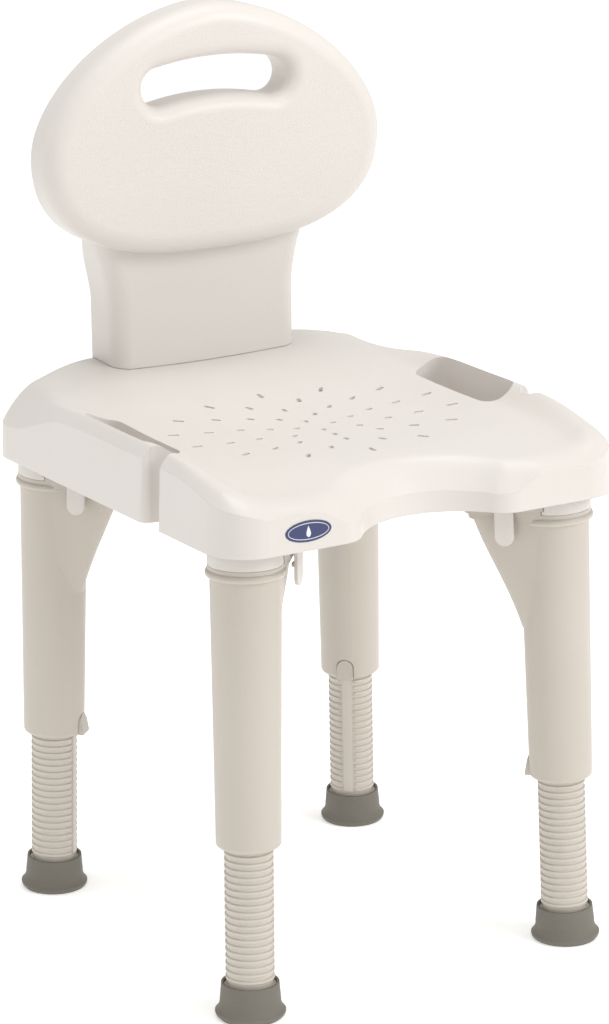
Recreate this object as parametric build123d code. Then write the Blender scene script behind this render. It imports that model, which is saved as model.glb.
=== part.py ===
"""Height-adjustable shower chair: moulded seat, plug-in backrest and four telescopic legs.

Millimetres. The origin is on the floor below the middle of the seat, +Z is up, the front of the
seat faces -Y and the seat is widest along X.
"""
import os
from math import atan2, cos, degrees, exp, hypot, pi, sin

from build123d import *

os.makedirs("parts", exist_ok=True)

# ---- seat shell ----
SEAT_WIDTH = 472.0  # across the bottom of the skirt
SEAT_DEPTH = 526.0  # from the front pads to the back of the rear bow
SKIRT_Z = 494.0  # bottom of the skirt above the floor
RIM_Z = 583.0  # top of the rear rim above the floor
SEAT_WALL = 3.4
SKIRT_DRAFT = 2.5  # degrees
FRONT_CORNER_R = 46.0
REAR_CORNER_R = 46.0
REAR_BOW = 10.0  # how far the middle of the back edge stands behind its ends
DISH_Z = 549.0  # lowest point of the sitting surface
DISH_Y = -60.0
DISH_R_ACROSS = 1900.0
DISH_R_ALONG = 1150.0
RAIL_RISE = 14.0  # raised rail outside each hand slot
FRONT_FALL = 8.0  # slope of the front edge
SCOOP_R = 96.0  # round recess in the middle of the front edge
SCOOP_DEPTH = 52.0  # how far the recess reaches behind the front pads
SCOOP_MOUTH_R = 34.0
SHOULDER_R = 24.0  # rounding of the rim at the sides; wider at the corners and the front
SHOULDER_DROP = 22.0  # height of that rounding, down to the top of the wall
SHOULDER_POWER = 2.6
SURFACE_STEP = 8.0  # spacing of the heights that the top surface passes through
SURFACE_MARGIN = 14.0
RIM_SOFT = 8.0  # the surface bends level over this height below the rim
RIB_T = 3.0
RIB_PITCH_X = 76.0
RIB_PITCH_Y = 84.0
RIB_BOTTOM_Z = 512.0

# ---- hand slots beside the sitter, and hose notches ----
SLOT_WIDTH = 28.0
SLOT_LENGTH = 142.0
SLOT_X = SEAT_WIDTH / 2 - 35
SLOT_Y = -9.0
SLOT_DRAFT = 5.0  # degrees, wider upwards
NOTCH_R = 16.0
NOTCH_INSET = 10.0  # from the outside of the skirt to the centre of the notch's round end
NOTCH_Y = -107.0
NOTCH_MOUTH_R = 12.0  # rounding of the mouth's rear side

# ---- drain slots ----
DRAIN_WIDTH = 4.4
DRAIN_CENTRE_Y = -34.0
DRAIN_RINGS = ((4, 22.0, 18.0, 7.5), (7, 50.0, 40.0, 8.0), (10, 82.0, 62.0, 9.0),
               (12, 118.0, 86.0, 11.0), (14, 158.0, 112.0, 13.0))  # count, X and Y radius, length

# ---- backrest ----
PAD_HALF_WIDTH = 204.0
PAD_CENTRE_Z = 818.0
PAD_UP = 149.0
PAD_DOWN = 116.0
PAD_POWER_UP = 1.72
PAD_POWER_DOWN = 2.6
PAD_FRONT_Y = 150.0
PAD_DEPTH = 44.0
PAD_ROLL = 22.0
BACK_WALL = 3.6
HOLE_HALF_WIDTH = 87.0  # at the back; the front rim is wider
HOLE_TOP_Z = 910.0
HOLE_BOTTOM_Z = 869.0
HOLE_SAG = 7.0  # how far the ends of the hole hang below its middle
HOLE_FLARE = 17.0
NECK_HALF_WIDTH = 113.0
NECK_TOP_HALF_WIDTH = 138.0
NECK_FRONT_Y = SEAT_DEPTH / 2 - 77
NECK_DEPTH = 60.0
NECK_FRONT_R = 20.0
NECK_REAR_R = 4.0
NECK_STRAIGHT_Z = 640.0  # the neck widens above this height
NECK_TOP_Z = 742.0
TONGUE_HALF_WIDTH = 84.0
TONGUE_DEPTH = 34.0
TONGUE_LENGTH = 66.0
TONGUE_WALL = 4.0
SLIDE_CLEARANCE = 0.4  # tongue in its pocket, and neck on the seat

# ---- legs, along each leg's own axis from the floor ----
LEG_X = SEAT_WIDTH / 2 - 42.2  # where a leg's axis meets the floor
LEG_Y = SEAT_DEPTH / 2 - 48
LEG_SPLAY = 1.77  # degrees, outward going down, along the diagonal
GUSSET_TURN = 15.0  # degrees from the diagonal to the gusset
TUBE_BOTTOM_Z = 181.0
TUBE_BOTTOM_R = 33.0
TUBE_TOP_R = 36.0
TUBE_EDGE_R = 4.0
LIP_Z = 462.0
LIP_R = 40.5
LIP_T = 7.5
BAND_R = 38.2
SPIGOT_R = 32.0
SPIGOT_TOP_Z = 540.0
SPIGOT_CLEARANCE = 0.2
SPIGOT_ROOF = 4.0
SOCKET_Z = 474.0  # bottom of the seat's leg sockets
GUSSET_TIP_R = 13.0
GUSSET_WALL = 4.0
GUSSET_REACH = ((345.0, 23.0), (369.0, 31.0), (405.0, 46.0), (441.0, 62.0), (466.0, 71.0))
FLANGE_COUNT = 3
FLANGE_T = 6.0
FLANGE_STEP = 4.4

# ---- telescopic extension ----
EXT_R = 25.0  # over the ribs
EXT_ROOT_R = 23.4
EXT_BORE_R = 19.0
EXT_TOP_Z = 262.0
EXT_GUIDE_CLEARANCE = 0.3
RIB_PITCH = 7.35
RIB_CREST = 3.9
RIB_START_Z = 40.0
RAIL_WIDTH = 11.0  # smooth rail between the ribs, on the side facing the chair's middle
RAIL_GROOVE = 3.2

# ---- rubber foot ----
FOOT_HEIGHT = 36.0
FOOT_TOP_R = 29.6
FOOT_BASE_R = 36.2
FOOT_FLOOR_T = 10.0
CUP_R = 27.2
CUP_CLEARANCE = 0.2
COLLAR_TOP_Z = 33.0
WASHER_T = 2.0
WASHER_HOLE_R = 4.0

# ---- height lock tab and seat latch ----
TAB_WIDTH = 18.0
TAB_HEIGHT = 22.0
TAB_GAP = 0.6
TAB_PROUD = 4.0
LATCH_WIDTH = 20.0
LATCH_T = 3.4
LATCH_OUT = 52.0  # from the leg's axis along the gusset
LATCH_TOP_Z = 492.0
LATCH_LENGTH = 50.0
LATCH_GAP = 1.2

# ---- badge ----
BADGE_HALF_WIDTH = 26.0
BADGE_HALF_HEIGHT = 10.5
BADGE_T = 1.4
BADGE_PROUD = 0.4
BADGE_CLEARANCE = 0.2
BADGE_X = 90 - SEAT_WIDTH / 2
BADGE_Z = 514.0

HALF_WIDTH = SEAT_WIDTH / 2
HALF_DEPTH = SEAT_DEPTH / 2
SCOOP_Y = -(HALF_DEPTH - SCOOP_DEPTH) - SCOOP_R
TONGUE_Y = NECK_FRONT_Y + 26
STANDING = (Align.CENTER, Align.CENTER, Align.MIN)
CORNERS = {"front_right": (-1, -1), "front_left": (1, -1), "rear_right": (-1, 1), "rear_left": (1, 1)}


def save(node, shape):
    """Write one sub-part as parts/NODE.step."""
    shape.label = node
    export_step(shape, f"parts/{node}.step")
    print(node, round(shape.volume / 1000, 1), "cm3", shape.is_valid)


def solid_of(shape):
    """The largest solid of a shape, so that a sliver left by a cut is dropped."""
    return max(shape.solids(), key=lambda s: s.volume)


# ---- seat ----
def seat_outline(inset):
    """Plan of the skirt, drawn inwards by inset: bowed back, and a round recess in the front."""
    x = HALF_WIDTH - inset
    front = -HALF_DEPTH + inset
    back = HALF_DEPTH - inset
    side_end = back - REAR_BOW
    with BuildSketch() as plan:
        with BuildLine():
            Polyline((-x, side_end), (-x, front), (x, front), (x, side_end))
            ThreePointArc((x, side_end), (0, back), (-x, side_end))
        make_face()
        with Locations((0, SCOOP_Y)):
            Circle(SCOOP_R + inset, mode=Mode.SUBTRACT)
        corners = plan.vertices().filter_by(lambda v: abs(v.X) > x - 1)
        fillet(corners.filter_by(lambda v: v.Y < 0), FRONT_CORNER_R - inset)
        corners = plan.vertices().filter_by(lambda v: abs(v.X) > x - 1)
        fillet(corners.filter_by(lambda v: v.Y > 0), REAR_CORNER_R - inset)
        mouth = plan.vertices().filter_by(lambda v: abs(v.X) < SCOOP_R and v.Y < front + 1)
        fillet(mouth, SCOOP_MOUTH_R)
    return plan.sketch


def ease(value, low, high):
    """Smooth step from 0 at low to 1 at high."""
    t = min(1.0, max(0.0, (value - low) / (high - low)))
    return t * t * (3 - 2 * t)


def crown_z(x, y):
    """Height of the sitting surface and its rails, before the rim rounds over."""
    side = abs(x) - HALF_WIDTH
    back = y - HALF_DEPTH
    front = -y - HALF_DEPTH
    rear = max(0.0, y - DISH_Y) ** 2 / (2 * DISH_R_ALONG) * (1 - 0.72 * ease(side, -131, -1))
    across = x**2 / (2 * DISH_R_ACROSS) * (1 - 0.6 * ease(front, -203, -13))
    rail = RAIL_RISE * ease(side, -50, -10) * (1 - ease(front, -123, 77)) * (1 - ease(back, -243, -63))
    fall = FRONT_FALL * ease(front, -123, -1) * (1 - 0.7 * ease(side, -66, -11))
    z = DISH_Z + rear + across + rail - fall
    limit = RIM_Z - RIM_SOFT
    return z if z < limit else RIM_Z - RIM_SOFT * exp((limit - z) / RIM_SOFT)


def shoulder(x, y):
    """Width of the rim's rounding, and how far it drops to the top of the wall."""
    side = abs(x) - HALF_WIDTH
    rear_corner = ease(side, -126, -21) * ease(y - HALF_DEPTH, -173, -43)
    front_corner = ease(side, -86, -6) * ease(-y - HALF_DEPTH, -113, -13)
    front = ease(-y - HALF_DEPTH, -143, -43)
    recess = (1 - ease(hypot(x, y - SCOOP_Y) - SCOOP_R, 8, 48)) * front
    width = SHOULDER_R + 34 * rear_corner + 8 * front + 28 * recess + 10 * front_corner
    drop = SHOULDER_DROP + 24 * rear_corner - 9 * front + 16 * recess + 8 * front_corner
    return width, drop


def edge_depths(steps=480):
    """Grid of (x, y, distance inside the skirt's outline) that covers the seat."""
    wire = seat_outline(0).faces()[0].outer_wire()
    ring = [(point.X, point.Y) for point in (wire @ (k / steps) for k in range(steps))]
    columns = round((SEAT_WIDTH + 2 * SURFACE_MARGIN) / SURFACE_STEP)
    lines = round((SEAT_DEPTH + 2 * SURFACE_MARGIN) / SURFACE_STEP)
    grid = []
    for j in range(lines + 1):
        y = (j / lines - 0.5) * (SEAT_DEPTH + 2 * SURFACE_MARGIN)
        row = []
        for i in range(columns + 1):
            x = (i / columns - 0.5) * (SEAT_WIDTH + 2 * SURFACE_MARGIN)
            nearest = SEAT_DEPTH
            inside = False
            for (x0, y0), (x1, y1) in zip(ring, ring[1:] + ring[:1]):
                dx, dy = x1 - x0, y1 - y0
                t = min(1.0, max(0.0, ((x - x0) * dx + (y - y0) * dy) / (dx * dx + dy * dy)))
                nearest = min(nearest, hypot(x - x0 - t * dx, y - y0 - t * dy))
                if (y0 > y) != (y1 > y) and x < x0 + (y - y0) * dx / dy:
                    inside = not inside
            row.append((x, y, nearest if inside else -nearest))
        grid.append(row)
    return grid


SEAT_GRID = edge_depths()


def crown_face(inset):
    """Top surface of the seat, lowered and drawn inwards by inset."""
    rows = []
    for line in SEAT_GRID:
        row = []
        for x, y, depth in line:
            width, drop = shoulder(x, y)
            width -= inset
            t = 1 - (depth - inset) / width
            part = t**SHOULDER_POWER if 0 < t < 1 else max(0.0, 1 + SHOULDER_POWER * (t - 1)) * (t >= 1)
            row.append((x, y, crown_z(x, y) - inset - drop * part))
        rows.append(row)
    return Face.make_surface_from_array_of_points(rows, tol=0.05)


def slot_prism(side, grow):
    """Drafted prism of one hand slot, wider by grow all round."""
    shape = SlotOverall(SLOT_LENGTH + 2 * grow, SLOT_WIDTH + 2 * grow, rotation=90)
    return Pos(side * SLOT_X, SLOT_Y, SKIRT_Z) * extrude(shape, RIM_Z - SKIRT_Z + 20, taper=-SLOT_DRAFT)


def notch_prism(side, grow):
    """Upright prism of one hose notch: a round end that opens through the skirt, rounded behind."""
    radius = NOTCH_R + grow
    shape = Circle(radius) + Pos(side * 30, 0) * Rectangle(60, 2 * radius)
    mouth = NOTCH_MOUTH_R
    flare = Pos(side * (NOTCH_INSET - mouth / 2), radius + mouth / 2) * Rectangle(mouth, mouth)
    flare -= Pos(side * (NOTCH_INSET - mouth), radius + mouth) * Circle(mouth)
    shape += flare
    centre = side * (HALF_WIDTH - NOTCH_INSET)
    return Pos(centre, NOTCH_Y, SKIRT_Z - 20) * extrude(shape, RIM_Z - SKIRT_Z + 60)


def pocket_prism(grow):
    """Upright prism of the pocket that takes the backrest's tongue."""
    shape = RectangleRounded(2 * (TONGUE_HALF_WIDTH + grow), TONGUE_DEPTH + 2 * grow, 9 + grow)
    return Pos(0, TONGUE_Y, SKIRT_Z - 20) * extrude(shape, RIM_Z - SKIRT_Z + 60)


def seat_block(inset, bottom):
    """Closed block inside the seat's outer surface, drawn inwards by inset."""
    block = Pos(0, 0, SKIRT_Z) * extrude(seat_outline(inset), RIM_Z - SKIRT_Z + 10, taper=SKIRT_DRAFT)
    if bottom < SKIRT_Z:
        block += Pos(0, 0, bottom) * extrude(seat_outline(inset), SKIRT_Z - bottom)
    return solid_of(block & extrude(crown_face(inset), amount=RIM_Z - bottom + 60, dir=(0, 0, -1)))


def rib_grid(bottom, top):
    """Crossed plates under the seat, from bottom to top."""
    plates = []
    height = top - bottom
    for k in range(-2, 3):
        plates.append(Pos(k * RIB_PITCH_X, 0, bottom + height / 2) * Box(RIB_T, SEAT_DEPTH, height))
        plates.append(Pos(0, k * RIB_PITCH_Y, bottom + height / 2) * Box(SEAT_WIDTH, RIB_T, height))
    return Part() + plates


def drain_slots():
    """Small round-ended slots in five rings, each pointing away from the middle."""
    slots = []
    for ring, (count, reach_x, reach_y, length) in enumerate(DRAIN_RINGS):
        for k in range(count):
            turn = 2 * pi * (k + 0.5 * (ring % 2)) / count + pi / 2
            x = reach_x * cos(turn)
            y = reach_y * sin(turn)
            shape = SlotOverall(length, DRAIN_WIDTH, rotation=degrees(atan2(y, x)))
            slots.append(Pos(x, DRAIN_CENTRE_Y + y, DISH_Z - 25) * extrude(shape, 60))
    return slots


def badge_plane():
    """Plane on the drafted front of the right-hand pad, facing out."""
    lean = SKIRT_DRAFT * pi / 180
    y = -HALF_DEPTH + (BADGE_Z - SKIRT_Z) * sin(lean) / cos(lean)
    return Plane(origin=(BADGE_X, y, BADGE_Z), x_dir=(1, 0, 0), z_dir=(0, -cos(lean), sin(lean)))


def seat():
    shell = seat_block(0, SKIRT_Z)
    hollow = seat_block(SEAT_WALL, SKIRT_Z - 2)
    cuts = [pocket_prism(SLIDE_CLEARANCE)]
    walls = [pocket_prism(SLIDE_CLEARANCE + SEAT_WALL)]
    for side in (-1, 1):
        cuts += [slot_prism(side, 0), notch_prism(side, 0)]
        walls += [slot_prism(side, SEAT_WALL), notch_prism(side, SEAT_WALL)]
    sockets = []
    bores = []
    posts = []
    for corner in CORNERS:
        frame = leg_frame(corner)
        boss = Cylinder(BAND_R, RIM_Z - SOCKET_Z, align=STANDING)
        sockets.append(frame * Pos(0, 0, SOCKET_Z) * boss)
        bore = Cylinder(SPIGOT_R + SPIGOT_CLEARANCE, SPIGOT_TOP_Z - SOCKET_Z + 2,
                        align=STANDING)
        bores.append(frame * Pos(0, 0, SOCKET_Z - 1) * bore)
        post = Box(LATCH_WIDTH, LATCH_T + 2, RIM_Z - LATCH_TOP_Z,
                   align=STANDING)
        posts.append(frame * latch_place(corner) * Pos(0, 0, LATCH_TOP_Z + SLIDE_CLEARANCE) * post)
    envelope = seat_block(SEAT_WALL / 2, SOCKET_Z - 2)
    inside = (rib_grid(RIB_BOTTOM_Z, RIM_Z) + posts) & envelope
    body = shell - (hollow - walls) + inside + [socket & envelope for socket in sockets]
    body = body - cuts - bores - drain_slots()
    badge_cut = extrude(Ellipse(BADGE_HALF_WIDTH + BADGE_CLEARANCE, BADGE_HALF_HEIGHT + BADGE_CLEARANCE),
                        -(BADGE_T - BADGE_PROUD))
    return solid_of(body - badge_plane() * badge_cut)


# ---- legs ----
def leg_frame(corner):
    """A leg's own frame: origin on the floor, +Z up its axis, +X along its gusset."""
    side, end = CORNERS[corner]
    diagonal = atan2(-end * LEG_Y, -side * LEG_X)
    splay = LEG_SPLAY * pi / 180
    up = Vector(sin(splay) * cos(diagonal), sin(splay) * sin(diagonal), cos(splay))
    turn = diagonal + side * GUSSET_TURN * pi / 180
    along = Vector(cos(turn), sin(turn), 0)
    along = (along - up * along.dot(up)).normalized()
    return Plane(origin=(side * LEG_X, end * LEG_Y, 0), x_dir=along, z_dir=up).location


def inward(corner):
    """Turn from a leg's gusset to the chair's middle, about the leg's axis."""
    return Rot(0, 0, -CORNERS[corner][0] * GUSSET_TURN)


def teardrop(reach, tip_r, root_r):
    """Hull of a circle on the leg's axis and a smaller one reach away along +X."""
    spread = (root_r - tip_r) / reach
    rise = (1 - spread**2) ** 0.5
    root_y = root_r * rise
    root_x = root_r * spread
    tip_y = tip_r * rise
    tip_x = reach + tip_r * spread
    with BuildSketch() as plan:
        with BuildLine():
            Line((root_x, root_y), (tip_x, tip_y))
            ThreePointArc((tip_x, tip_y), (reach + tip_r, 0), (tip_x, -tip_y))
            Line((tip_x, -tip_y), (root_x, -root_y))
            ThreePointArc((root_x, -root_y), (-root_r, 0), (root_x, root_y))
        make_face()
    return plan.sketch


def tube_r(z):
    """Outer radius of the tapered leg tube at height z along its axis."""
    return TUBE_BOTTOM_R + (TUBE_TOP_R - TUBE_BOTTOM_R) * (z - TUBE_BOTTOM_Z) / (LIP_Z - TUBE_BOTTOM_Z)


def flange_edge():
    """Half-width of the top flange where the latch hangs, and the slope of its edge there."""
    reach = GUSSET_REACH[-1][1]
    tip_r = GUSSET_TIP_R + FLANGE_COUNT * FLANGE_STEP
    spread = (BAND_R - tip_r) / reach
    rise = (1 - spread**2) ** 0.5
    slope = -spread / rise
    return (BAND_R - spread * LATCH_OUT) / rise, slope


def latch_place(corner):
    """Where a latch hangs, in its leg's frame: beside the flange, parallel to its edge."""
    half, slope = flange_edge()
    side = CORNERS[corner][0]
    gap = (LATCH_GAP + LATCH_T / 2) * hypot(1, slope)
    turn = degrees(atan2(slope, 1))
    return Pos(LATCH_OUT, side * (half + gap), 0) * Rot(0, 0, side * turn)


def tab_outline(grow):
    """Arched outline of the height lock tab, on the tube's lower edge."""
    width = TAB_WIDTH + 2 * grow
    height = TAB_HEIGHT + 2 * grow
    shape = Pos(0, (height - width / 2) / 2) * Rectangle(width, height - width / 2)
    return shape + Pos(0, height - width / 2) * Circle(width / 2)


def tab_prism(grow, start, end):
    """The tab's outline as a radial prism from start to end, facing along +X."""
    plane = Plane(origin=(start, 0, TUBE_BOTTOM_Z - grow), x_dir=(0, 1, 0), z_dir=(1, 0, 0))
    return extrude(plane * tab_outline(grow), end - start)


def turned(*points):
    """Solid of revolution about +Z from a closed outline of (radius, height) points."""
    return revolve(make_face(Plane.XZ * Polyline(*points, close=True)), Axis.Z)


def leg_tube(corner):
    lip_top = LIP_Z + LIP_T
    shoulder_z = SOCKET_Z - SPIGOT_CLEARANCE
    outline = Polyline((BAND_R, lip_top), (BAND_R, shoulder_z), (SPIGOT_R, shoulder_z),
                       (SPIGOT_R, SPIGOT_TOP_Z), (0, SPIGOT_TOP_Z), (0, TUBE_BOTTOM_Z),
                       (TUBE_BOTTOM_R, TUBE_BOTTOM_Z), (TUBE_TOP_R, LIP_Z), (LIP_R - 1.5, LIP_Z))
    outline += ThreePointArc((LIP_R - 1.5, LIP_Z), (LIP_R, LIP_Z + LIP_T / 2), (BAND_R, lip_top))
    body = revolve(make_face(Plane.XZ * outline), Axis.Z)
    rims = body.edges().filter_by(GeomType.CIRCLE)
    body = fillet([rim for rim in rims if abs(rim.radius - TUBE_BOTTOM_R) < 0.01], TUBE_EDGE_R)
    sections = [Pos(0, 0, z) * teardrop(reach, GUSSET_TIP_R, tube_r(z) - 0.5) for z, reach in GUSSET_REACH]
    body += loft(sections)
    top_z, top_reach = GUSSET_REACH[-1]
    flange_top = top_z + FLANGE_COUNT * FLANGE_T
    socket = Pos(0, 0, shoulder_z) * Cylinder(BAND_R + EXT_GUIDE_CLEARANCE, 60, align=STANDING)
    for k in range(FLANGE_COUNT):
        plate = teardrop(top_reach, GUSSET_TIP_R + (k + 1) * FLANGE_STEP, BAND_R)
        body += Pos(0, 0, top_z + k * FLANGE_T) * extrude(plate, FLANGE_T) - socket
    tip_r = GUSSET_TIP_R - GUSSET_WALL
    core = [Pos(0, 0, z) * teardrop(reach, tip_r, tube_r(z) - GUSSET_WALL) for z, reach in GUSSET_REACH[1:]]
    core_top = extrude(teardrop(top_reach, tip_r, 30), flange_top - top_z + 2)
    core = loft(core) + Pos(0, 0, top_z - 1) * core_top
    body -= core - Pos(0, 0, TUBE_BOTTOM_Z) * Cylinder(BAND_R + 2, 400, align=STANDING)
    bore = Cylinder(EXT_R + EXT_GUIDE_CLEARANCE, SPIGOT_TOP_Z - SPIGOT_ROOF - TUBE_BOTTOM_Z + 1,
                    align=STANDING)
    body -= Pos(0, 0, TUBE_BOTTOM_Z - 1) * bore
    window = tab_prism(TAB_GAP, EXT_R - 4, TUBE_BOTTOM_R + 6)
    return leg_frame(corner) * solid_of(body - inward(corner) * window)


def lock_tab(corner):
    """Arched tab in the foot of the leg tube, standing proud at its lower end."""
    inner = EXT_R + 1.0
    proud_r = TUBE_BOTTOM_R + TAB_PROUD
    tab = tab_prism(0, inner, proud_r)
    slope = Polyline((TUBE_BOTTOM_R + 0.3, TUBE_BOTTOM_Z + TAB_HEIGHT), (proud_r, TUBE_BOTTOM_Z + 3),
                     (proud_r + 9, TUBE_BOTTOM_Z + 3), (proud_r + 9, TUBE_BOTTOM_Z + TAB_HEIGHT), close=True)
    tab -= extrude(make_face(Plane.XZ * slope), TAB_WIDTH, both=True)
    return leg_frame(corner) * inward(corner) * solid_of(tab)


def seat_latch(corner):
    """Flexible latch that hangs from the seat and hooks under the leg's flange."""
    side = CORNERS[corner][0]
    drop = LATCH_LENGTH - LATCH_WIDTH / 2
    outline = Pos(0, LATCH_TOP_Z - drop / 2) * Rectangle(LATCH_WIDTH, drop)
    outline += Pos(0, LATCH_TOP_Z - drop) * Circle(LATCH_WIDTH / 2)
    latch = extrude(Plane.XZ * outline, LATCH_T / 2, both=True)
    hook_z = GUSSET_REACH[-1][0] - SLIDE_CLEARANCE
    hook = Pos(0, -side * (LATCH_T / 2 + 0.5 * LATCH_GAP + 1.5), hook_z - 2) * Box(
        LATCH_WIDTH * 0.5, LATCH_GAP + 3, 4)
    return leg_frame(corner) * latch_place(corner) * solid_of(latch + hook)


def extension(corner):
    """Ribbed telescopic tube with a smooth rail facing the chair's middle."""
    points = [(EXT_BORE_R, FOOT_FLOOR_T + WASHER_T), (CUP_R - CUP_CLEARANCE, FOOT_FLOOR_T + WASHER_T),
              (CUP_R - CUP_CLEARANCE, COLLAR_TOP_Z), (EXT_ROOT_R, COLLAR_TOP_Z)]
    slope = 0.6
    count = int((EXT_TOP_Z - RIB_START_Z) / RIB_PITCH)
    for k in range(count):
        z = RIB_START_Z + k * RIB_PITCH
        crest = z + RIB_CREST
        points += [(EXT_ROOT_R, z), (EXT_R, z + slope), (EXT_R, crest - slope), (EXT_ROOT_R, crest)]
    points += [(EXT_ROOT_R, EXT_TOP_Z), (EXT_BORE_R, EXT_TOP_Z)]
    body = turned(*points)
    length = EXT_TOP_Z - RIB_START_Z
    middle = RIB_START_Z + length / 2
    channel = Box(8, RAIL_WIDTH + 2 * RAIL_GROOVE, length)
    body -= Pos(EXT_ROOT_R - 0.5 + 4, 0, middle) * channel
    rail = Pos(EXT_ROOT_R - 1, 0, middle) * Box(5, RAIL_WIDTH, length)
    body += rail & Pos(0, 0, middle) * Cylinder(EXT_R - 0.4, length)
    return leg_frame(corner) * inward(corner) * solid_of(body)


def foot(corner):
    """Rubber tip with a flared base, cut level with the floor."""
    below = -4.0
    waist = FOOT_TOP_R + 1.6
    base = FOOT_BASE_R - 3.5
    outline = Polyline((waist, 18), (FOOT_TOP_R, FOOT_HEIGHT), (CUP_R, FOOT_HEIGHT), (CUP_R, FOOT_FLOOR_T),
                       (0, FOOT_FLOOR_T), (0, below), (base, below), (base, 0))
    outline += ThreePointArc((base, 0), (FOOT_BASE_R - 0.9, 2.3), (FOOT_BASE_R, 6))
    outline += ThreePointArc((FOOT_BASE_R, 6), (waist + 1.5, 10.5), (waist, 18))
    body = leg_frame(corner) * revolve(make_face(Plane.XZ * outline), Axis.Z)
    side, end = CORNERS[corner]
    above_floor = Pos(side * LEG_X, end * LEG_Y, FOOT_HEIGHT) * Box(120, 120, 2 * FOOT_HEIGHT)
    body = body & above_floor
    tread = Cylinder(24, 1.5) - Cylinder(21, 1.5) + (Cylinder(14, 1.5) - Cylinder(11, 1.5))
    return solid_of(body - Pos(side * LEG_X, end * LEG_Y, 0.75) * tread)


def washer(corner):
    """Steel washer on the floor of the rubber tip, under the end of the extension."""
    ring = Cylinder(EXT_R - 1, WASHER_T) - Cylinder(WASHER_HOLE_R, WASHER_T)
    return leg_frame(corner) * Pos(0, 0, FOOT_FLOOR_T + WASHER_T / 2) * ring


def badge():
    return badge_plane() * Pos(0, 0, BADGE_PROUD - BADGE_T) * extrude(
        Ellipse(BADGE_HALF_WIDTH, BADGE_HALF_HEIGHT), BADGE_T)


# ---- backrest ----
def pad_outline(inset):
    """Front view of the pad: half a squashed ellipse above its middle and another below."""
    width = PAD_HALF_WIDTH - inset
    points = []
    steps = 40
    for k in range(steps):
        turn = 2 * pi * k / steps
        c, s = cos(turn), sin(turn)
        power = PAD_POWER_UP if s >= 0 else PAD_POWER_DOWN
        reach = (PAD_UP if s >= 0 else PAD_DOWN) - inset
        across = width * abs(c) ** (2 / power) * (1 if c >= 0 else -1)
        points.append((across, PAD_CENTRE_Z + reach * abs(s) ** (2 / power) * (1 if s >= 0 else -1)))
    return make_face(Plane.XZ * Spline(*points, periodic=True))


def hole_outline(grow):
    """Front view of the hand hole: a flat arched slot."""
    height = HOLE_TOP_Z - HOLE_BOTTOM_Z
    middle = (HOLE_TOP_Z + HOLE_BOTTOM_Z) / 2
    end = HOLE_HALF_WIDTH - height / 2 + 2
    arch = ThreePointArc((-end, middle - HOLE_SAG), (0, middle), (end, middle - HOLE_SAG))
    return Plane.XZ * SlotArc(arch, height + 2 * grow)


def pad_block(inset, back):
    """Closed block inside the pad's outer surface, with the hole, from its rolled front to back."""
    front = PAD_FRONT_Y + inset
    block = Pos(0, back, 0) * extrude(pad_outline(inset), back - front)
    front_edges = block.faces().sort_by(Axis.Y)[0].edges()
    block = fillet(front_edges, PAD_ROLL - inset)
    hole = Pos(0, back + 1, 0) * extrude(hole_outline(inset), back - front + 2)
    block = block - hole
    rim = block.faces().sort_by(Axis.Y)[0].inner_wires()[0].edges()
    return fillet(rim, HOLE_FLARE - inset)


def neck_section(half, depth, inset):
    """Plan of the neck at one height: round in front, nearly square behind."""
    shape = Pos(0, NECK_FRONT_Y + depth / 2) * Rectangle(2 * (half - inset), depth - 2 * inset)
    corners = shape.vertices().sort_by(Axis.Y)
    rear_r = NECK_REAR_R - inset
    front_r = min(NECK_FRONT_R - inset, depth - 2 * inset - rear_r - 0.5)
    shape = fillet(corners[:2], front_r)
    return fillet(shape.vertices().sort_by(Axis.Y)[-2:], rear_r)


def neck_block(inset, bottom):
    """Closed block inside the neck: straight at the seat, wider and thinner behind the pad."""
    straight = neck_section(NECK_HALF_WIDTH, NECK_DEPTH, inset)
    sections = [Pos(0, 0, NECK_STRAIGHT_Z) * straight]
    top = NECK_TOP_Z - inset
    for height, wide, thin in ((0.22, 0.07, 0.0), (0.5, 0.33, 0.04), (0.8, 0.75, 0.35), (1.0, 1.0, 0.70)):
        half = NECK_HALF_WIDTH + wide * (NECK_TOP_HALF_WIDTH - NECK_HALF_WIDTH)
        z = NECK_STRAIGHT_Z + height * (top - NECK_STRAIGHT_Z)
        sections.append(Pos(0, 0, z) * neck_section(half, NECK_DEPTH * (1 - thin), inset))
    return loft(sections) + Pos(0, 0, bottom) * extrude(straight, NECK_STRAIGHT_Z - bottom)


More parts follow.
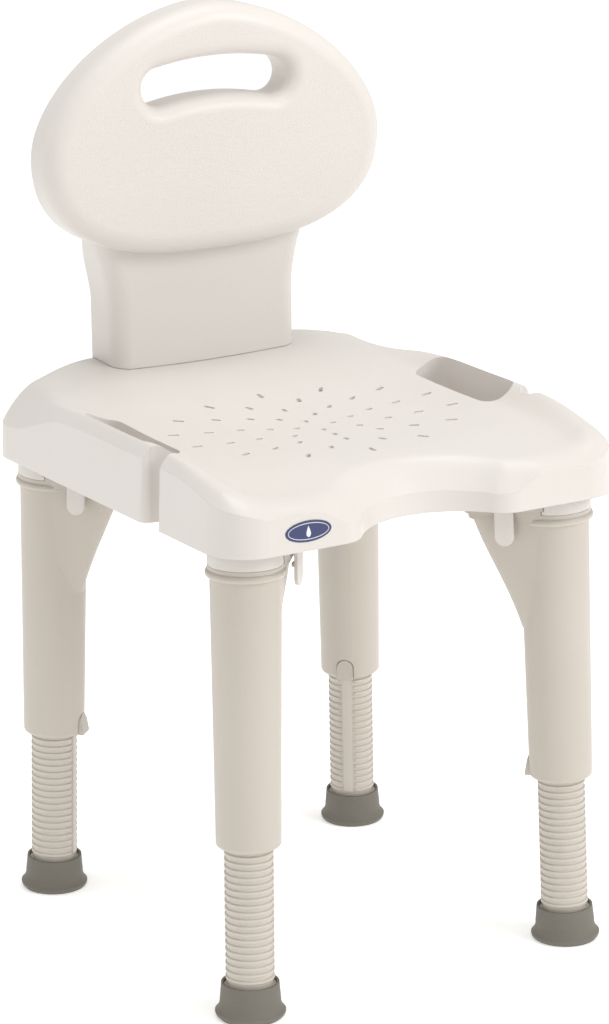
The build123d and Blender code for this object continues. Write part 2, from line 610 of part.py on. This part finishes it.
def backrest():
    back = PAD_FRONT_Y + PAD_DEPTH
    pad = pad_block(0, back)
    low = RIM_Z - 14
    neck = neck_block(0, low)
    pad_hollow = pad_block(BACK_WALL, back + 2)
    neck_hollow = neck_block(BACK_WALL, low - 2)
    ribs = []
    depth = PAD_DEPTH - 8
    for k in range(-2, 3):
        ribs.append(Pos(k * 78, back - depth / 2, PAD_CENTRE_Z) * Box(RIB_T, depth, 2 * PAD_UP))
    for z in (PAD_CENTRE_Z - 60, PAD_CENTRE_Z + 16, PAD_CENTRE_Z + 100):
        ribs.append(Pos(0, back - depth / 2, z) * Box(2 * PAD_HALF_WIDTH, depth, RIB_T))
    ribs = (Part() + ribs) & pad_block(BACK_WALL / 2, back)
    body = (pad - pad_hollow) + ribs
    body = body - neck_block(BACK_WALL, low) + (neck - neck_hollow)
    floor_z = RIM_Z + 8
    body += Pos(0, 0, floor_z) * extrude(neck_section(NECK_HALF_WIDTH, NECK_DEPTH, BACK_WALL / 2), BACK_WALL)
    body -= seat_block(-SLIDE_CLEARANCE, SKIRT_Z)
    tongue = RectangleRounded(2 * TONGUE_HALF_WIDTH, TONGUE_DEPTH, 9) - RectangleRounded(
        2 * (TONGUE_HALF_WIDTH - TONGUE_WALL), TONGUE_DEPTH - 2 * TONGUE_WALL, 5)
    body += Pos(0, TONGUE_Y, RIM_Z - TONGUE_LENGTH) * extrude(tongue, TONGUE_LENGTH + floor_z - RIM_Z + 1)
    return solid_of(body)


save("seat", seat())
save("backrest", backrest())
save("badge", badge())
for place in CORNERS:
    save(f"leg_tube_{place}", leg_tube(place))
    save(f"leg_extension_{place}", extension(place))
    save(f"foot_{place}", foot(place))
    save(f"foot_washer_{place}", washer(place))
    save(f"height_lock_tab_{place}", lock_tab(place))
    save(f"seat_latch_{place}", seat_latch(place))
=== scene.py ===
from math import cos, pi, radians, sin

import bpy
from mathutils import Matrix, Vector


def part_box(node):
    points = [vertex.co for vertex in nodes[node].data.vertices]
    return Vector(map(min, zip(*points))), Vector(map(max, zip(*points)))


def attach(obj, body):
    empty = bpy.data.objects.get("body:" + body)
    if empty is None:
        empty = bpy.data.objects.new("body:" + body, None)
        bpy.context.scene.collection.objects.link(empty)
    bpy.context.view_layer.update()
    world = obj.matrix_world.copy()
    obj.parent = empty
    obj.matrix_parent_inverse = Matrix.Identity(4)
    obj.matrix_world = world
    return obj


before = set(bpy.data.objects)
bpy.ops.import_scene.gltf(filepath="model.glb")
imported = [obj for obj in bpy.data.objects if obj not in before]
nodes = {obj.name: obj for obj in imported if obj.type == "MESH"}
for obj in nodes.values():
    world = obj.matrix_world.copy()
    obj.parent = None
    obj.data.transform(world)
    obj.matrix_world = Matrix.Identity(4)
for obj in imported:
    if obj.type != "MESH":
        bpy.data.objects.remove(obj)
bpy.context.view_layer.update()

# camera: the direction it stands in, its roll, distance, offsets and lens
AZIMUTH = radians(-30.8355)
ELEVATION = radians(15.9544)
ROLL = radians(-0.7909)
DISTANCE = 4.0796
SIDE_STEP = 0.00548
AIM_HEIGHT = 0.44759
LENS = 136.18

IVORY = (0.700, 0.664, 0.628)
IVORY_SHADE = (0.655, 0.615, 0.575)
# leg colours: the legs' own warmer tone, darkened further by painted shade standing in for the dimmer light
# on the legs
LEG_TONE_WITH_PAINTED_SHADE = (0.555, 0.508, 0.447)
LEG_DARKER_TONE_WITH_PAINTED_SHADE = (0.52, 0.472, 0.41)
TUBE = (0.60, 0.555, 0.49)
RUBBER = (0.185, 0.172, 0.142)
RUBBER_SHADE = (0.145, 0.134, 0.112)
STEEL = (0.60, 0.60, 0.59)
STEEL_SHADE = (0.45, 0.45, 0.45)
BLUE = (0.014, 0.024, 0.125)
BLUE_SHADE = (0.010, 0.018, 0.095)
EMBLEM = (0.78, 0.80, 0.84)
EMBLEM_SHADE = (0.70, 0.73, 0.78)
EDGE_ROUND = 0.0012
PAD_HEIGHT = 0.262  # grained part of the backrest, down from its top
SKIRT_LEAN = radians(2.5)
EMBLEM_PROUD = 0.00012
EMBLEM_ROOT = 0.0003
OVAL_STEPS = 72
DROP_STEPS = 48
FLOOR_REACH = 40.0


class Graph:
    """Small helper that adds shader nodes and links them."""

    def __init__(self, name):
        self.material = bpy.data.materials.new(name)
        self.material.use_nodes = True
        self.tree = self.material.node_tree
        self.tree.nodes.clear()

    def add(self, kind, inputs=None, **settings):
        node = self.tree.nodes.new(kind)
        for key, value in settings.items():
            setattr(node, key, value)
        for key, value in (inputs or {}).items():
            if isinstance(value, bpy.types.NodeSocket):
                self.tree.links.new(value, node.inputs[key])
            else:
                node.inputs[key].default_value = value
        return node

    def noise(self, coords, scale, detail=3.0, rough=0.5):
        values = {"Vector": coords, "Scale": scale, "Detail": detail, "Roughness": rough}
        return self.add("ShaderNodeTexNoise", values).outputs["Fac"]

    def remap(self, value, low, high, to_low, to_high):
        values = {"Value": value, "From Min": low, "From Max": high, "To Min": to_low, "To Max": to_high}
        return self.add("ShaderNodeMapRange", values, clamp=True).outputs["Result"]

    def math(self, operation, a, b=0.0):
        return self.add("ShaderNodeMath", {0: a, 1: b}, operation=operation).outputs["Value"]

    def mix(self, factor, a, b):
        node = self.add("ShaderNodeMix", data_type="RGBA")
        for socket, value in ((node.inputs[0], factor), (node.inputs[6], a), (node.inputs[7], b)):
            if isinstance(value, bpy.types.NodeSocket):
                self.tree.links.new(value, socket)
            else:
                socket.default_value = value
        return node.outputs[2]

    def bump(self, height, strength, distance, normal):
        values = {"Height": height, "Strength": strength, "Distance": distance, "Normal": normal}
        return self.add("ShaderNodeBump", values).outputs["Normal"]


def moulded(name, colour, shade, roughness, grain=0.0, grain_scale=900.0, wear=0.35, metallic=0.0,
            panel=False, coat=0.0, patches=4.0, sheen=0.04):
    """Moulded surface: soft colour drift, fine grain, uneven gloss and slightly polished edges."""
    g = Graph(name)
    coords = g.add("ShaderNodeTexCoord").outputs["Object"]
    drift = g.remap(g.noise(coords, patches), 0.35, 0.65, 0.0, 1.0)
    speckle = g.remap(g.noise(coords, 260.0, 2.0), 0.4, 0.6, 0.0, 1.0)
    base = g.mix(drift, (*colour, 1.0), tuple(0.5 * (c + s) for c, s in zip(colour, shade)) + (1.0,))
    base = g.mix(g.math("MULTIPLY", speckle, 0.12), base, (*shade, 1.0))
    rounded = g.add("ShaderNodeBevel", {"Radius": EDGE_ROUND}, samples=6).outputs["Normal"]
    facing = g.add("ShaderNodeNewGeometry").outputs["Normal"]
    turned = g.add("ShaderNodeVectorMath", {0: rounded, 1: facing}, operation="DOT_PRODUCT").outputs["Value"]
    edge = g.remap(turned, 0.90, 0.998, 1.0, 0.0)
    scuffs = g.remap(g.noise(coords, 70.0, 4.0, 0.65), 0.42, 0.62, 0.0, 1.0)
    worn = g.math("MULTIPLY", g.math("MULTIPLY", edge, scuffs), wear)
    light = tuple(min(1.0, c * 1.08 + 0.02) for c in colour) + (1.0,)
    base = g.mix(worn, base, light)
    gloss = g.remap(g.noise(coords, 11.0, 4.0, 0.6), 0.3, 0.7, roughness - sheen, roughness + sheen)
    gloss = g.math("SUBTRACT", gloss, g.math("MULTIPLY", worn, 0.12))
    waves = g.bump(g.noise(coords, 9.0, 1.0), 0.25, 0.0012, rounded)
    normal = waves
    if grain:
        cells = g.add("ShaderNodeTexVoronoi", {"Vector": coords, "Scale": grain_scale}, feature="F1")
        height = cells.outputs["Distance"]
        if panel:
            z = g.add("ShaderNodeSeparateXYZ", {"Vector": coords}).outputs
            face = g.add("ShaderNodeSeparateXYZ", {"Vector": facing}).outputs["Y"]
            front = g.remap(face, -0.985, -0.999, 0.0, 1.0)
            above = g.remap(z["Z"], PAD_LOW, PAD_LOW + 0.004, 0.0, 1.0)
            near = g.remap(z["Y"], PAD_FRONT + 0.002, PAD_FRONT + 0.001, 0.0, 1.0)
            mask = g.math("MULTIPLY", front, g.math("MULTIPLY", above, near))
            height = g.math("MULTIPLY", height, mask)
        normal = g.bump(height, grain, 0.0006, waves)
    fine = g.bump(g.noise(coords, 1400.0, 2.0), 0.12, 0.0002, normal)
    values = {"Base Color": base, "Roughness": gloss, "Normal": fine, "Metallic": metallic,
              "IOR": 1.47, "Coat Weight": coat, "Coat Roughness": 0.12}
    surface = g.add("ShaderNodeBsdfPrincipled", values)
    out = g.add("ShaderNodeOutputMaterial")
    g.tree.links.new(surface.outputs["BSDF"], out.inputs["Surface"])
    return g.material


back_low, back_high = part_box("backrest")
PAD_FRONT = back_low.y
PAD_LOW = back_high.z - PAD_HEIGHT

shell = moulded("ivory_shell", IVORY, IVORY_SHADE, 0.36, wear=0.4)
panel = moulded("ivory_grained", IVORY, IVORY_SHADE, 0.40, grain=0.5, grain_scale=620.0, wear=0.4, panel=True)
# leg finish: warmer leg tone plus painted shade darkening
leg = moulded("ivory_leg_painted_shade", LEG_TONE_WITH_PAINTED_SHADE, LEG_DARKER_TONE_WITH_PAINTED_SHADE, 0.40, grain=0.10, grain_scale=1500.0, wear=0.4)
tube = moulded("ivory_tube", TUBE, LEG_TONE_WITH_PAINTED_SHADE, 0.38, wear=0.55)
catch = moulded("ivory_catch", IVORY, IVORY_SHADE, 0.34, wear=0.5)
rubber = moulded("grey_rubber", RUBBER, RUBBER_SHADE, 0.62, grain=0.12, grain_scale=1300.0, wear=0.5,
                 sheen=0.08)
steel = moulded("washer_steel", STEEL, STEEL_SHADE, 0.33, grain=0.06, grain_scale=2400.0, wear=0.6,
                metallic=1.0)
blue = moulded("badge_blue", BLUE, BLUE_SHADE, 0.25, wear=0.3, coat=0.5, patches=30.0)
emblem = moulded("badge_emblem", EMBLEM, EMBLEM_SHADE, 0.34, wear=0.2, patches=40.0)

FINISHES = {"seat_latch": catch, "seat": shell, "backrest": panel, "badge": blue, "leg_tube": leg,
            "leg_extension": tube, "foot_washer": steel, "foot": rubber, "height_lock_tab": leg}
for name, node in nodes.items():
    finish = next(FINISHES[key] for key in FINISHES if name.startswith(key))
    node.data.materials.clear()
    node.data.materials.append(finish)


def drop_emblem():
    """Plain water-drop shape and an oval line that stand on the badge."""
    low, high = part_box("badge")
    middle = (low + high) / 2
    half_w = (high.x - low.x) / 2
    half_h = (high.z - low.z) / 2
    face = low.y + 0.00002

    def plate(name, ring, hole=None):
        verts, faces = [], []
        count = len(ring)
        loops = [ring] if hole is None else [ring, hole]
        for loop in loops:
            for x, z in loop:
                for depth in (-EMBLEM_PROUD, EMBLEM_ROOT):
                    height = z * cos(SKIRT_LEAN)
                    y = face + (z + half_h) * sin(SKIRT_LEAN) + depth
                    verts.append((middle.x + x, y, middle.z + height))
        if hole is None:
            faces.append([2 * k for k in range(count)])
            faces.append([2 * k + 1 for k in reversed(range(count))])
        for k in range(count):
            n = (k + 1) % count
            faces.append((2 * k, 2 * k + 1, 2 * n + 1, 2 * n))
            if hole is not None:
                shift = 2 * count
                faces.append((shift + 2 * k, shift + 2 * n, shift + 2 * n + 1, shift + 2 * k + 1))
                faces.append((2 * k, 2 * n, shift + 2 * n, shift + 2 * k))
                faces.append((2 * k + 1, shift + 2 * k + 1, shift + 2 * n + 1, 2 * n + 1))
        mesh = bpy.data.meshes.new(name)
        mesh.from_pydata(verts, [], faces)
        mesh.update()
        mesh.materials.append(emblem)
        piece = bpy.data.objects.new(name, mesh)
        bpy.context.scene.collection.objects.link(piece)
        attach(piece, "seat_and_legs")

    def oval(scale_x, scale_z):
        turns = [2 * pi * k / OVAL_STEPS for k in range(OVAL_STEPS)]
        return [(half_w * scale_x * cos(turn), half_h * scale_z * sin(turn)) for turn in turns]

    plate("badge_line", oval(0.90, 0.80), oval(0.87, 0.72))
    size = half_h * 0.56
    drop = []
    for k in range(DROP_STEPS):
        turn = 2 * pi * k / DROP_STEPS
        drop.append((size * 0.62 * sin(turn) * sin(turn / 2) ** 1.4, size * cos(turn)))
    plate("badge_drop", drop)


drop_emblem()

# ---- floor, light and camera ----
ground = Graph("studio_floor")
ground_coords = ground.add("ShaderNodeTexCoord").outputs["Object"]
ground_base = ground.mix(ground.noise(ground_coords, 0.7), (0.955, 0.953, 0.95, 1.0),
                         (0.965, 0.963, 0.96, 1.0))
ground_surface = ground.add("ShaderNodeBsdfPrincipled", {
    "Base Color": ground_base, "Roughness": 0.9, "Specular IOR Level": 0.1,
    "Emission Color": (1.0, 0.995, 0.985, 1.0), "Emission Strength": 0.34})
ground_out = ground.add("ShaderNodeOutputMaterial")
ground.tree.links.new(ground_surface.outputs["BSDF"], ground_out.inputs["Surface"])
floor_mesh = bpy.data.meshes.new("floor")
floor_corners = [(x * FLOOR_REACH, y * FLOOR_REACH, 0) for x, y in ((-1, -1), (1, -1), (1, 1), (-1, 1))]
floor_mesh.from_pydata(floor_corners, [], [(0, 1, 2, 3)])
floor_mesh.materials.append(ground.material)
floor = bpy.data.objects.new("floor", floor_mesh)
bpy.context.scene.collection.objects.link(floor)

world = bpy.data.worlds.new("studio")
world.use_nodes = True
sky = world.node_tree.nodes["Background"]
sky.inputs["Color"].default_value = (1.0, 0.998, 0.994, 1.0)
sky.inputs["Strength"].default_value = 0.70
bpy.context.scene.world = world


def soft_light(name, place, target, size, power, colour=(1.0, 0.995, 0.985)):
    lamp = bpy.data.lights.new(name, "AREA")
    lamp.shape = "SQUARE"
    lamp.size = size
    lamp.energy = power
    lamp.color = colour
    holder = bpy.data.objects.new(name, lamp)
    holder.location = place
    holder.rotation_mode = "QUATERNION"
    holder.rotation_quaternion = (Vector(target) - Vector(place)).to_track_quat("-Z", "Y")
    bpy.context.scene.collection.objects.link(holder)


soft_light("key", (2.2, -3.2, 2.8), (0, 0, 0.6), 1.8, 66.0)
soft_light("fill", (-2.8, 1.6, 1.6), (0, 0, 0.4), 2.0, 9.0)
soft_light("top", (0.2, -0.2, 3.4), (0, 0, 0.4), 1.8, 34.0)

camera_data = bpy.data.cameras.new("camera")
camera_data.sensor_width = 36.0
camera_data.lens = LENS
camera_data.clip_start = 0.05
camera_data.clip_end = 60.0
camera = bpy.data.objects.new("camera", camera_data)
away = Vector((sin(AZIMUTH) * cos(ELEVATION), -cos(AZIMUTH) * cos(ELEVATION), sin(ELEVATION)))
right = Vector((cos(AZIMUTH), sin(AZIMUTH), 0.0))
up = away.cross(right)
across = right * cos(ROLL) + up * sin(ROLL)
upright = up * cos(ROLL) - right * sin(ROLL)
place = away * DISTANCE + right * SIDE_STEP + Vector((0, 0, AIM_HEIGHT))
camera.matrix_world = Matrix([
    (across.x, upright.x, away.x, place.x),
    (across.y, upright.y, away.y, place.y),
    (across.z, upright.z, away.z, place.z),
    (0, 0, 0, 1),
])
bpy.context.scene.collection.objects.link(camera)
bpy.context.scene.camera = camera
bpy.context.scene.view_settings.view_transform = "Standard"
